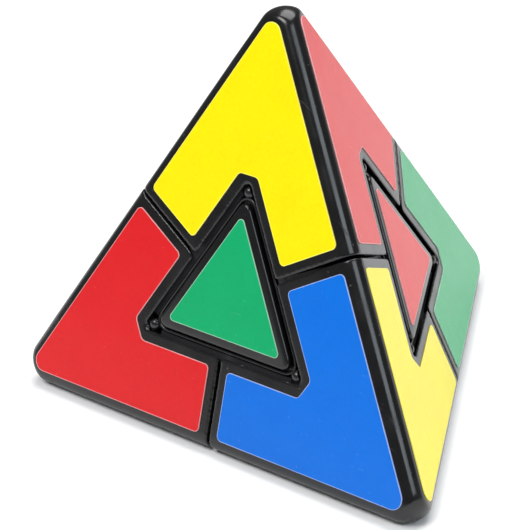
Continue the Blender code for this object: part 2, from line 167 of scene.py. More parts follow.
class Workshop:
    """Operators used by every sub-assembly, with the selection kept clean between them."""

    @staticmethod
    def clear_selection() -> None:
        """Go back to object mode, with nothing selected."""
        if bpy.context.mode != "OBJECT":
            bpy.ops.object.mode_set(mode="OBJECT")
        bpy.ops.object.select_all(action="DESELECT")

    @staticmethod
    def pick(obj: Object) -> None:
        """Make one object the selected and active one.

        Args:
            obj: The object.
        """
        Workshop.clear_selection()
        obj.select_set(True)
        bpy.context.view_layer.objects.active = obj

    @staticmethod
    def name_new(name: str) -> Object:
        """Name the object that an operator has just added, and apply its place.

        Args:
            name: Name of the object and of its mesh.

        Returns:
            The object.
        """
        obj = bpy.context.active_object
        obj.name = obj.data.name = name
        bpy.ops.object.transform_apply(location=True, rotation=True, scale=True)
        return obj

    @staticmethod
    def frustum(
        name: str, low: float, high: float, z_low: float, z_high: float, sides: int = 3, angle: float = 0.0
    ) -> Object:
        """Add an upright frustum whose first corner points along +Y.

        Args:
            name: Name of the object.
            low: Corner radius at its lower end, in millimetres.
            high: Corner radius at its upper end, in millimetres.
            z_low: Height of the lower end, in millimetres.
            z_high: Height of the upper end, in millimetres.
            sides: Number of its sides.
            angle: How far it is turned about Z, in degrees.

        Returns:
            The new object.
        """
        Workshop.clear_selection()
        bpy.ops.mesh.primitive_cone_add(
            vertices=sides, radius1=low * MM, radius2=high * MM, depth=(z_high - z_low) * MM,
            location=(0, 0, (z_low + z_high) / 2 * MM), rotation=(0, 0, math.radians(angle)))
        return Workshop.name_new(name)

    @staticmethod
    def tetrahedron(name: str, inradius: float) -> Object:
        """Add a tetrahedron about the core, whose faces stand at a distance in millimetres."""
        return Workshop.frustum(name, 2 * math.sqrt(2) * inradius, 0, -inradius, 3 * inradius)

    @staticmethod
    def ball(name: str, radius: float, detail: int = 5) -> Object:
        """Add a ball about the core.

        Args:
            name: Name of the object.
            radius: Its radius, in millimetres.
            detail: Subdivisions of the icosahedron that it is made from.

        Returns:
            The new object.
        """
        Workshop.clear_selection()
        bpy.ops.mesh.primitive_ico_sphere_add(subdivisions=detail, radius=radius * MM)
        return Workshop.name_new(name)

    @staticmethod
    def edit(obj: Object, kind: str, chosen: Callable[[Any], bool]) -> None:
        """Open an object in edit mode, with the edges or faces that a test picks selected.

        Args:
            obj: The object to edit.
            kind: "EDGE" or "FACE".
            chosen: A test of each of them.
        """
        Workshop.pick(obj)
        bpy.ops.object.mode_set(mode="EDIT")
        bpy.ops.mesh.select_mode(type=kind)
        bpy.ops.mesh.select_all(action="DESELECT")
        mesh = bmesh.from_edit_mesh(obj.data)
        for item in mesh.edges if kind == "EDGE" else mesh.faces:
            item.select = chosen(item)
        mesh.select_flush_mode()
        bmesh.update_edit_mesh(obj.data)

    @staticmethod
    def faces_down(face: bmesh.types.BMFace) -> bool:
        """Whether a face points straight down."""
        return face.normal.z < -0.99

    @staticmethod
    def bevel(obj: Object, width: float, segments: int, chosen: Callable[[Edge], bool]) -> None:
        """Bevel the edges that a test picks.

        Args:
            obj: The object to shape.
            width: Width of the bevel, in millimetres.
            segments: Number of segments across it.
            chosen: A test of each edge of the mesh.
        """
        Workshop.edit(obj, "EDGE", chosen)
        bpy.ops.mesh.bevel(offset=width * MM, segments=segments, affect="EDGES")
        bpy.ops.object.mode_set(mode="OBJECT")

    @staticmethod
    def modify(obj: Object, kind: str, **settings: Any) -> None:
        """Add a modifier and apply it.

        Args:
            obj: The object to change.
            kind: Type of the modifier.
            settings: Its settings, by name.
        """
        Workshop.pick(obj)
        step = obj.modifiers.new(kind.lower(), kind)
        for label, value in settings.items():
            setattr(step, label, value)
        bpy.ops.object.modifier_apply(modifier=step.name)

    @staticmethod
    def combine(obj: Object, operation: str, other: Object) -> None:
        """Join, cut or intersect an object with another one, which is used up."""
        Workshop.modify(obj, "BOOLEAN", operation=operation, solver="MANIFOLD", object=other)
        bpy.data.objects.remove(other, do_unlink=True)

    @staticmethod
    def smooth(obj: Object, passes: int, weight: Callable[[Vector], float] | None = None) -> None:
        """Round the edges of an evenly meshed object, as moulded plastic has them.

        Args:
            obj: The object to round.
            passes: Smoothing passes. Each one widens the rounding.
            weight: How much the smoothing acts at a point in metres, from 0 to 1. All over if None.
        """
        where = {}
        if weight is not None:
            group = obj.vertex_groups.new(name="rounding")
            for vertex in obj.data.vertices:
                amount = weight(vertex.co)
                if amount > 0:
                    group.add([vertex.index], min(1.0, amount), "REPLACE")
            where["vertex_group"] = group.name
        Workshop.modify(obj, "SMOOTH", factor=0.5, iterations=passes, **where)
        obj.vertex_groups.clear()

    @staticmethod
    def lighten(obj: Object, triangles: int) -> None:
        """Bring an object down to a number of triangles, fewest where it is flat."""
        now = sum(len(face.vertices) - 2 for face in obj.data.polygons)
        Workshop.modify(obj, "DECIMATE", ratio=min(1.0, triangles / now))

    @staticmethod
    def smooth_shading(obj: Object, angle: float = 35.0) -> None:
        """Shade an object smooth, except across edges sharper than an angle in degrees."""
        Workshop.pick(obj)
        bpy.ops.object.shade_smooth_by_angle(angle=math.radians(angle))

    @staticmethod
    def profile(name: str, points: Outline) -> Object:
        """A flat closed wire, lying at height zero.

        Args:
            name: Name of the object.
            points: The x and y of its points, in millimetres.

        Returns:
            The wire.
        """
        Workshop.clear_selection()
        bpy.ops.mesh.primitive_circle_add(vertices=len(points), radius=MM, fill_type="NOTHING")
        obj = Workshop.name_new(name)
        for vertex, point in zip(obj.data.vertices, points):
            vertex.co = (point.x * MM, point.y * MM, 0)
        return obj

    @staticmethod
    def close_up(threshold: float | None = None) -> None:
        """Turn the faces of the mesh being edited outwards, merge its doubles if asked, and leave it."""
        bpy.ops.mesh.select_all(action="SELECT")
        if threshold is not None:
            bpy.ops.mesh.remove_doubles(threshold=threshold)
        bpy.ops.mesh.normals_make_consistent(inside=False)
        bpy.ops.object.mode_set(mode="OBJECT")

    @staticmethod
    def post(name: str, points: Outline, z_low: float, z_high: float) -> Object:
        """A straight post or plate with a given outline.

        Args:
            name: Name of the object.
            points: Its outline, in millimetres.
            z_low: Height of its lower end, in millimetres.
            z_high: Height of its upper end, in millimetres.

        Returns:
            The closed solid.
        """
        obj = Workshop.profile(name, points)
        Workshop.pick(obj)
        bpy.ops.object.mode_set(mode="EDIT")
        bpy.ops.mesh.select_all(action="SELECT")
        bpy.ops.mesh.edge_face_add()
        bpy.ops.transform.translate(value=(0, 0, z_low * MM))
        bpy.ops.mesh.extrude_region_move(TRANSFORM_OT_translate={"value": (0, 0, (z_high - z_low) * MM)})
        Workshop.close_up()
        return obj

    @staticmethod
    def lathe(name: str, points: Outline, steps: int, turn: Matrix | None = None) -> Object:
        """A solid of revolution about Z.

        Args:
            name: Name of the object.
            points: Radius and height of each profile point, in millimetres. Both ends are on the axis.
            steps: Faces in a full turn.
            turn: How the finished solid is turned about the core, if it is.

        Returns:
            The closed solid.
        """
        obj = Workshop.profile(name, points)
        for vertex in obj.data.vertices:
            vertex.co = (vertex.co.x, 0, vertex.co.y)
        Workshop.edit(obj, "EDGE", lambda edge: all(abs(vertex.co.x) < NEARLY for vertex in edge.verts))
        bpy.ops.mesh.delete(type="EDGE")
        bpy.ops.mesh.select_all(action="SELECT")
        bpy.ops.mesh.spin(steps=steps, angle=2 * math.pi, center=(0, 0, 0), axis=(0, 0, 1))
        Workshop.close_up(2 * NEARLY)
        if turn is not None:
            obj.data.transform(turn)
        return obj

    @staticmethod
    def plate(name: str, points: Outline, z_low: float, z_high: float, rim: float) -> Object:
        """A flat plate with a narrow border round its outer side.

        Args:
            name: Name of the object.
            points: Its outline, anticlockwise from above, in millimetres.
            z_low: Height of its outer side, in millimetres.
            z_high: Height of its hidden side, in millimetres.
            rim: Width of the border, in millimetres.

        Returns:
            The plate, with its border and side faces in the second material slot.
        """
        obj = Workshop.post(name, points, z_low, z_high)
        Workshop.edit(obj, "FACE", Workshop.faces_down)
        bpy.ops.mesh.inset(thickness=rim * MM)
        bpy.ops.object.mode_set(mode="OBJECT")
        for face in obj.data.polygons:
            face.material_index = 0 if len(face.vertices) > 4 else 1
        return obj


@dataclass(frozen=True)
class Placing:
    """Where a copy of a blank goes in the frame, and what it is there."""

    name: str
    turn: Matrix
    node: str
    slot: str
    body: str

    def put(self, blank: Object, centre: Vector, finishes: list[bpy.types.Material]) -> None:
        """Copy a blank with its own mesh, turn it about the core, hide the frame's piece that it stands for
        and hang the copy on its body.

        Args:
            blank: The piece as it was modelled, about the origin.
            centre: Place of the core.
            finishes: Its materials.
        """
        copy = bpy.data.objects.new(self.name, blank.data.copy())
        copy.data.name = self.name
        copy.data.transform(Matrix.Translation(centre) @ self.turn)
        for finish in finishes:
            copy.data.materials.append(finish)
        bpy.context.scene.collection.objects.link(copy)
        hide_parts(self.node)
        self.slot
        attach(copy, self.body)
        LOG.info("%s: %d faces", self.name, len(copy.data.polygons))


@dataclass
class SubAssembly:
    """What every sub-assembly of the puzzle holds."""

    sizes: PuzzleSizes
    finishes: Finishes
    centre: Vector

    def put_all(
        self, blank: Object, finish: bpy.types.Material, placings: list[Placing], angle: float = 35.0
    ) -> None:
        """Dress a blank, put its copies in the frame and throw the blank away.

        Args:
            blank: The piece as it was modelled.
            finish: Its material.
            placings: Where its copies go.
            angle: Edges sharper than this stay sharp, in degrees.
        """
        Workshop.smooth_shading(blank, angle)
        blank.data.materials.clear()
        for placing in placings:
            placing.put(blank, self.centre, [finish])
        bpy.data.objects.remove(blank, do_unlink=True)


class Outlines:
    """Flat outlines, worked out from lengths and angles in millimetres and degrees."""

    @staticmethod
    def polar(distance: float, angle: float) -> Vector:
        """A point at a distance and an angle from the middle of a face."""
        return Vector((distance * math.cos(math.radians(angle)), distance * math.sin(math.radians(angle))))

    @staticmethod
    def arc(middle: Vector, radius: float, start: float, end: float, steps: int) -> Outline:
        """Points along an arc.

        Args:
            middle: Its centre.
            radius: Its radius, in millimetres.
            start: Angle of its first point, in degrees.
            end: Angle of its last point, in degrees.
            steps: Sides that it is made of.

        Returns:
            The points, with both ends.
        """
        turn = (end - start) / steps
        return [middle + Outlines.polar(radius, start + turn * step) for step in range(steps + 1)]

    @staticmethod
    def crossing(p: Vector, u: Vector, q: Vector, v: Vector) -> Vector:
        """Where two lines meet.

        Args:
            p: A point of the first line.
            u: Its direction, with a length of one.
            q: A point of the second line.
            v: Its direction, with a length of one.

        Returns:
            The crossing. For parallel lines, the point of the first one that is nearest q.
        """
        cross = u.x * v.y - u.y * v.x
        if abs(cross) < PARALLEL:
            return p + u * (q - p).dot(u)
        return p + u * (((q.x - p.x) * v.y - (q.y - p.y) * v.x) / cross)

    @staticmethod
    def inset(corners: Outline, borders: list[float]) -> Outline:
        """Move each side of a closed outline inwards by its own border.

        Args:
            corners: The outline, anticlockwise.
            borders: The border of each side. A side starts at the corner with its number.

        Returns:
            The smaller outline.
        """
        made = []
        for i, here in enumerate(corners):
            u = (here - corners[i - 1]).normalized()
            v = (corners[(i + 1) % len(corners)] - here).normalized()
            p = here + Vector((-u.y, u.x)) * borders[i - 1]
            q = here + Vector((-v.y, v.x)) * borders[i]
            made.append(Outlines.crossing(p, u, q, v))
        return made

    @staticmethod
    def rounded(corners: Outline, radii: list[float], segments: int = 8) -> Outline:
        """Put an arc of its own radius at each corner of a closed outline.

        Args:
            corners: The outline.
            radii: The radius at each corner.
            segments: Sides that each arc is made of.

        Returns:
            The rounded outline.
        """
        made = []
        for here, before, after, radius in zip(corners, corners[-1:] + corners[:-1],
                                               corners[1:] + corners[:1], radii):
            u, v = (before - here).normalized(), (after - here).normalized()
            half = math.acos(max(-1.0, min(1.0, u.dot(v)))) / 2
            middle = here + (u + v).normalized() * (radius / math.sin(half))
            start = here + u * (radius / math.tan(half)) - middle
            end = here + v * (radius / math.tan(half)) - middle
            for step in range(segments + 1):
                made.append(middle + start.slerp(end, step / segments).normalized() * radius)
        return made

    @staticmethod
    def filleted(points: Outline, index: int, reach: float, segments: int = 8) -> Outline:
        """Replace a corner of an open outline by a curve.

        Args:
            points: The outline.
            index: Which of its points is the corner.
            reach: How far the curve reaches from the corner on each side, in millimetres.
            segments: Sides that the curve is made of.

        Returns:
            The outline with its corner rounded.
        """
        corner = points[index]
        before = [point for point in points[:index] if (point - corner).length > reach]
        after = [point for point in points[index + 1:] if (point - corner).length > reach]
        start = corner + (points[index - 1] - corner).normalized() * reach
        end = corner + (points[index + 1] - corner).normalized() * reach
        curve = []
        for part in (step / segments for step in range(segments + 1)):
            curve.append(start.lerp(corner, part).lerp(corner.lerp(end, part), part))
        return before + curve + after

    @staticmethod
    def widened(points: Outline, offsets: list[float]) -> Outline:
        """Move each side of an open outline by its own offset to its left, with mitred corners.

        Args:
            points: The outline.
            offsets: The offset of each side.

        Returns:
            The moved outline.
        """
        lines = []
        for a, b, offset in zip(points, points[1:], offsets):
            along = (b - a).normalized()
            lines.append((a + Vector((-along.y, along.x)) * offset, along))
        made = [lines[0][0]]
        for (p, u), (q, v) in zip(lines, lines[1:]):
            made.append(Outlines.crossing(p, u, q, v))
        last = lines[-1][0] + points[-1] - points[-2]
        return made + [last]


# ------------------------------------------------------------------ sizes

@dataclass(frozen=True)
class PuzzleSizes:
    """Sizes of the whole puzzle, in millimetres, that its pieces share."""

    edge: float = 98.0
    sticker_lift: float = 0.35
    hole_apothem: float = 10.4
    half_gap: float = 0.25
    edge_radius: float = 2.4
    vertex_tip: float = 53.5
    vertex_radius: float = 5.35
    corner_inner: float = 20.0
    slider_inner: float = 14.9
    wall: float = 2.2
    hub_opening: float = 7.3
    hub_top: float = 33.3
    far: float = 70.0
    least_radius: float = 0.5
    overshoot: float = 1.5

    @property
    def inradius(self) -> float:
        """From the core to the plane of a face."""
        return self.edge * math.sqrt(6) / 12

    @property
    def face_apothem(self) -> float:
        """From the middle of a face to the middle of its edge."""
        return self.edge / (2 * math.sqrt(3))

    @property
    def cut(self) -> float:
        """How far beyond the core the cut plane of a vertex lies."""
        return TILT_SIN * self.hole_apothem - self.inradius / 3

    def on_face(self, opposite: Corner, toward: Corner, distance: float) -> Vector:
        """A point of the face opposite one vertex, at a distance from its middle towards another."""
        middle = -opposite.axis * self.inradius
        return middle + (toward.axis * 3 * self.inradius - middle).normalized() * distance

    def nose_outline(self, inset: float) -> Outline:
        """Radius and height of the rounded vertex and the cone that its three edges lie on.

        Args:
            inset: How far it is moved inwards, in millimetres.

        Returns:
            The outline, with both ends on the axis.
        """
        slant = math.asin(math.sqrt(1 / 3))
        radius = max(self.least_radius, self.vertex_radius - inset)
        middle = Vector((0, self.vertex_tip - inset - radius))
        made = Outlines.arc(middle, radius, 90, math.degrees(slant), 16)
        made.append(made[-1] + Vector((math.sin(slant), -math.cos(slant))) * 2 * self.far)
        return made + [Vector((0.0, made[-1].y))]

    def sweep_outline(
        self, clearance: float, opening: float, steps: int = 16, rounding: float = 0.0
    ) -> Outline:
        """Radius and height of all that turns with the top corner, from top to bottom.

        Args:
            clearance: How much the outline is grown along the seam and the cut, in millimetres.
            opening: How much it is grown along the side of the opening, in millimetres.
            steps: Points along the seam, and along the side of the opening.
            rounding: Rounding of the corner where the seam meets the opening, in millimetres.

        Returns:
            The outline, with both ends on the axis.
        """
        edge_middle = (Corner.TOP.axis + Corner.BACK.axis) * 1.5 * self.inradius
        upper = self.on_face(Corner.LEFT, Corner.TOP, 2 * self.hole_apothem)
        lower = self.on_face(Corner.LEFT, Corner.BACK, 2 * self.hole_apothem)
        middle = (upper + lower) / 2
        path = [edge_middle.lerp(middle, i / steps) for i in range(steps)]
        path += [middle.lerp(lower, i / steps) for i in range(steps + 1)]
        radial = [Vector((point.xy.length, point.z)) for point in path]
        outline = [radial[0] * self.overshoot] + radial + [Vector((0.0, radial[-1].y))]
        grown = Outlines.widened(outline, [clearance] * (steps + 1) + [opening] * steps + [clearance])
        if rounding > 0:
            grown = Outlines.filleted(grown, steps + 1, rounding)
        return [Vector((0.0, self.far)), Vector((grown[0].x, self.far))] + grown


# ------------------------------------------------------------------ shared shader effects

class ShaderEffects:
    """Node groups that more than one finish uses, each built once."""

    def __init__(self) -> None:
        """Build the groups."""
        self.moulding = self.build_moulding()
        self.handling = self.build_handling()
        self.print_mottle = self.build_print_mottle()

    @staticmethod
    def new_group(name: str, inputs: dict[str, float], outputs: list[str]) -> Tree:
        """Start a group with float inputs and float outputs.

        Args:
            name: Name of the group.
            inputs: Default value of each input.
            outputs: Names of its outputs.

        Returns:
            The group, with one node for its inputs and one for its outputs.
        """
        group = bpy.data.node_groups.new(name, "ShaderNodeTree")
        for label, value in inputs.items():
            socket = group.interface.new_socket(label, in_out="INPUT", socket_type="NodeSocketFloat")
            socket.default_value = value
        for label in outputs:
            group.interface.new_socket(label, in_out="OUTPUT", socket_type="NodeSocketFloat")
        group.nodes.new("NodeGroupInput")
        group.nodes.new("NodeGroupOutput")
        return group

    @staticmethod
    def ends(group: Tree) -> tuple[bpy.types.Node, bpy.types.Node]:
        """The input node and the output node of a group."""
        return group.nodes["Group Input"], group.nodes["Group Output"]

    @staticmethod
    def noise(
        tree: Tree, scale: float, detail: float = 2.0, stretch: Vector | None = None,
        turn: float = 0.0
    ) -> bpy.types.Node:
        """A noise on the piece's own coordinates.

        Args:
            tree: Where to add it.
            scale: Its scale, per metre.
            detail: Octaves of finer detail.
            stretch: Scale of each axis, for streaks.
            turn: Turn of the pattern about every axis, in degrees.

        Returns:
            The noise node.
        """
        place = tree.nodes.new("ShaderNodeTexCoord")
        node = tree.nodes.new("ShaderNodeTexNoise")
        node.inputs["Scale"].default_value = scale
        node.inputs["Detail"].default_value = detail
        if stretch is None:
            tree.links.new(place.outputs["Object"], node.inputs["Vector"])
            return node
        mapping = tree.nodes.new("ShaderNodeMapping")
        mapping.inputs["Scale"].default_value = stretch
        mapping.inputs["Rotation"].default_value = (math.radians(turn),) * 3
        tree.links.new(place.outputs["Object"], mapping.inputs["Vector"])
        tree.links.new(mapping.outputs["Vector"], node.inputs["Vector"])
        return node

    @staticmethod
    def ranged(
        tree: Tree, value: Socket, low: float, high: float,
        to_low: float = 0.0, to_high: float = 1.0
    ) -> Socket:
        """Map a value from one range to another, and clamp it there.

        Args:
            tree: Where to add the node.
            value: The value.
            low: Start of the range that it comes from.
            high: End of that range.
            to_low: What the start becomes.
            to_high: What the end becomes.

        Returns:
            The mapped value.
        """
        node = tree.nodes.new("ShaderNodeMapRange")
        tree.links.new(value, node.inputs["Value"])
        for label, number in (("From Min", low), ("From Max", high), ("To Min", to_low), ("To Max", to_high)):
            node.inputs[label].default_value = number
        return node.outputs["Result"]

    @staticmethod
    def maths(
        tree: Tree, operation: str, first: Socket,
        second: Socket | float
    ) -> Socket:
        """Join a value with another value or number by a maths operation.

        Args:
            tree: Where to add the node.
            operation: The operation's name.
            first: The value.
            second: The other value, or a number.

        Returns:
            The result.
        """
        node = tree.nodes.new("ShaderNodeMath")
        node.operation = operation
        tree.links.new(first, node.inputs[0])
        if isinstance(second, (int, float)):
            node.inputs[1].default_value = second
        else:
            tree.links.new(second, node.inputs[1])
        return node.outputs["Value"]

    @classmethod
    def build_moulding(cls) -> Tree:
        """Fine grain and faint sink waves of injection moulded plastic.

        Returns:
            A group with the inputs Grain and Waves, and the output Height.
        """
        group = cls.new_group("moulding_surface", {"Grain": 0.2, "Waves": 1.0}, ["Height"])
        start, end = cls.ends(group)
        grain = cls.noise(group, 2600, 3)
        waves = cls.noise(group, 90, 1)
        fine = cls.maths(group, "MULTIPLY", grain.outputs["Fac"], start.outputs["Grain"])
        broad = cls.maths(group, "MULTIPLY", waves.outputs["Fac"], start.outputs["Waves"])
        group.links.new(cls.maths(group, "ADD", fine, broad), end.inputs["Height"])
        return group

    @classmethod
    def build_handling(cls) -> Tree:
        """Smudges, fine scratches and specks of dust from use.

        Returns:
            A group with the inputs Roughness, Smudges and Scratches, and the outputs Roughness,
            Scratch Height and Dust.
        """
        group = cls.new_group(
            "handling_marks", {"Roughness": 0.3, "Smudges": 0.1, "Scratches": 1.0},
            ["Roughness", "Scratch Height", "Dust"])
        start, end = cls.ends(group)
        patches = cls.ranged(group, cls.noise(group, 130, 4).outputs["Fac"], 0.42, 0.68)
        smudge = cls.maths(group, "MULTIPLY", patches, start.outputs["Smudges"])
        lines = None
        for turn, scale in ((17.0, 55), (63.0, 70), (121.0, 48)):
            streak = cls.noise(group, scale, 1, Vector((1.0, 26.0, 1.0)), turn)
            thin = cls.ranged(group, streak.outputs["Fac"], 0.735, 0.76)
            lines = thin if lines is None else cls.maths(group, "MAXIMUM", lines, thin)
        broken = cls.ranged(group, cls.noise(group, 240, 2).outputs["Fac"], 0.50, 0.56)
        scratch = cls.maths(group, "MULTIPLY", cls.maths(group, "MULTIPLY", lines, broken),
                            start.outputs["Scratches"])
        rougher = cls.maths(group, "ADD", smudge, cls.maths(group, "MULTIPLY", scratch, 0.22))
        group.links.new(cls.maths(group, "ADD", rougher, start.outputs["Roughness"]), end.inputs["Roughness"])
        group.links.new(cls.maths(group, "MULTIPLY", scratch, -1.0), end.inputs["Scratch Height"])
        dust = cls.ranged(group, cls.noise(group, 1500, 1).outputs["Fac"], 0.76, 0.80)
        group.links.new(dust, end.inputs["Dust"])
        return group

    @classmethod
    def build_print_mottle(cls) -> Tree:
        """Uneven tone of printed vinyl, from broad clouds to small specks.

        Returns:
            A group with the input Contrast, and the outputs Tone, near 0.5, and Height.
        """
        group = cls.new_group("print_mottle", {"Contrast": 1.0}, ["Tone", "Height"])
        start, end = cls.ends(group)
        clouds = cls.ranged(group, cls.noise(group, 170, 3).outputs["Fac"], 0.3, 0.7, -0.35, 0.35)
        specks = cls.ranged(group, cls.noise(group, 1500, 2).outputs["Fac"], 0.3, 0.7, -0.5, 0.5)
        both = cls.maths(group, "MULTIPLY", cls.maths(group, "ADD", clouds, specks), start.outputs["Contrast"])
        group.links.new(cls.maths(group, "ADD", both, 0.5), end.inputs["Tone"])
        ripple = cls.noise(group, 420, 2)
        group.links.new(ripple.outputs["Fac"], end.inputs["Height"])
        return group


@dataclass(frozen=True)
class Finish:
    """A material built on one Principled shader.

    Attributes:
        name: Name of the material.
        colour: Base colour, linear.
        roughness: Roughness where it is clean.
    """

    name: str
    colour: Rgb
    roughness: float
    metallic: float = 0.0
    ior: float = 1.5
    scratch_depth: float = 0.12
    grain: float = 0.2
    waves: float = 0.5
    bump: float = 0.00003
    smudges: float = 0.1
    scratches: float = 1.0
    dust_colour: Rgb = (0.25, 0.25, 0.26)
    dust_cover: float = 0.3

    def build(self, effects: ShaderEffects) -> bpy.types.Material:
        """Make the material.

        Args:
            effects: The shared node groups.

        Returns:
            The material.
        """
        material = bpy.data.materials.new(self.name)
        material.use_nodes = True
        tree = material.node_tree
        shader = tree.nodes["Principled BSDF"]
        shader.inputs["Metallic"].default_value = self.metallic
        shader.inputs["IOR"].default_value = self.ior

        marks = tree.nodes.new("ShaderNodeGroup")
        marks.node_tree = effects.handling
        marks.inputs["Roughness"].default_value = self.roughness
        marks.inputs["Smudges"].default_value = self.smudges
        marks.inputs["Scratches"].default_value = self.scratches
        tree.links.new(marks.outputs["Roughness"], shader.inputs["Roughness"])

        surface = tree.nodes.new("ShaderNodeGroup")
        surface.node_tree = effects.moulding
        surface.inputs["Grain"].default_value = self.grain
        surface.inputs["Waves"].default_value = self.waves
        height = ShaderEffects.maths(
            tree, "ADD", surface.outputs["Height"],
            ShaderEffects.maths(tree, "MULTIPLY", marks.outputs["Scratch Height"], self.scratch_depth))
        height, colour = self.pattern(tree, effects, height)
        bump = tree.nodes.new("ShaderNodeBump")
        bump.inputs["Distance"].default_value = self.bump
        bump.inputs["Strength"].default_value = 1.0
        tree.links.new(height, bump.inputs["Height"])
        tree.links.new(bump.outputs["Normal"], shader.inputs["Normal"])

        dusty = self.mixed(
            tree, ShaderEffects.maths(tree, "MULTIPLY", marks.outputs["Dust"], self.dust_cover), colour,
            self.dust_colour)
        tree.links.new(dusty, shader.inputs["Base Color"])
        return material

    @staticmethod
    def mixed(
        tree: Tree, factor: Socket,
        first: Socket | Rgb, second: Rgb
    ) -> Socket:
        """Mix a colour with a fixed one.

        Args:
            tree: Where to add the node.
            factor: How much of the second colour shows.
            first: A colour, or a socket that gives one.
            second: The fixed colour.

        Returns:
            The mixed colour.
        """
        node = tree.nodes.new("ShaderNodeMix")
        node.data_type = "RGBA"
        sockets = {socket.identifier: socket for socket in (*node.inputs, *node.outputs)}
        tree.links.new(factor, node.inputs["Factor"])
        if isinstance(first, tuple):
            sockets["A_Color"].default_value = (*first, 1.0)
        else:
            tree.links.new(first, sockets["A_Color"])
        sockets["B_Color"].default_value = (*second, 1.0)
        return sockets["Result_Color"]

    def pattern(
        self, tree: Tree, effects: ShaderEffects, height: Socket
    ) -> tuple[Socket, Socket]:
        """Colour of a plain finish, slightly uneven, with its height unchanged.

        Args:
            tree: The material's nodes.
            effects: The shared node groups.
            height: Height so far.

        Returns:
            The height, and the colour.
        """
        tone = ShaderEffects.ranged(tree, ShaderEffects.noise(tree, 210, 3).outputs["Fac"], 0.35, 0.7)
        paler = tuple(channel * 1.3 + 0.001 for channel in self.colour)
        return height, self.mixed(tree, tone, self.colour, paler)


@dataclass(frozen=True)
class VinylFinish(Finish):
    """Printed sticker vinyl under a thin gloss layer."""

    contrast: float = 0.25

    def pattern(
        self, tree: Tree, effects: ShaderEffects, height: Socket
    ) -> tuple[Socket, Socket]:
        """Mottled print, and the ripple of vinyl laid on by hand.

        Args:
            tree: The material's nodes.
            effects: The shared node groups.
            height: Height so far.

        Returns:
            The height, and the colour.
        """
        mottle = tree.nodes.new("ShaderNodeGroup")
        mottle.node_tree = effects.print_mottle
        mottle.inputs["Contrast"].default_value = self.contrast
        darker = tuple(channel * 0.86 for channel in self.colour)
        paler = tuple(min(1.0, channel * 1.07) for channel in self.colour)
        colour = self.mixed(tree, mottle.outputs["Tone"], darker, paler)
        return ShaderEffects.maths(tree, "ADD", height, mottle.outputs["Height"]), colour


class Finishes:
    """Every material of the puzzle, by name."""

    def __init__(self) -> None:
        """Build them all."""
        effects = ShaderEffects()
        self.shell = Finish("shell_plastic", (0.005, 0.005, 0.0055), 0.17,
                            smudges=0.12).build(effects)
        self.cap = Finish("cap_plastic", (0.005, 0.005, 0.0055), 0.18,
                          smudges=0.08, waves=0.35).build(effects)
        self.base = Finish("base_plastic", (0.010, 0.010, 0.011), 0.18,
                           smudges=0.06).build(effects)
        self.inner = Finish("inner_plastic_satin", (0.022, 0.022, 0.024), 0.42,
                            grain=0.35, scratches=0.4).build(effects)
        self.steel = Finish("turned_steel", (0.55, 0.56, 0.58), 0.28, metallic=1.0,
                            grain=0.3, dust_cover=0.1).build(effects)
        self.vinyl = {
            colour: VinylFinish(f"{colour.name.lower()}_print", colour.value, 0.24,
                                ior=1.36, smudges=0.03, waves=0.7, bump=0.00004, dust_cover=0.06,
                                scratches=0.12,
                                dust_colour=(0.75, 0.75, 0.72)).build(effects)
            for colour in Colour
        }
        # Sticker cut edges and rims get the print colour paled towards grey: a painted highlight along each
        # edge.
        self.cut_edge = {
            colour: Finish(f"{colour.name.lower()}_cut_edge", self.painted_edge_highlight(colour), 0.5,
                           scratches=0.0, smudges=0.05, dust_colour=(0.5, 0.5, 0.5)).build(effects)
            for colour in Colour
        }

    @staticmethod
    def painted_edge_highlight(colour: Colour) -> Rgb:
        """The cut edge of a sticker: the print colour paled towards grey, a painted highlight along its thin
        edge.

        Args:
            colour: Colour of the print.

        Returns:
            The colour of its edge.
        """
        amount = 0.2 if colour is Colour.YELLOW else 0.45
        return tuple(channel * (1 - amount) + 0.72 * amount for channel in colour.value)


# ------------------------------------------------------------------ the sub-assemblies

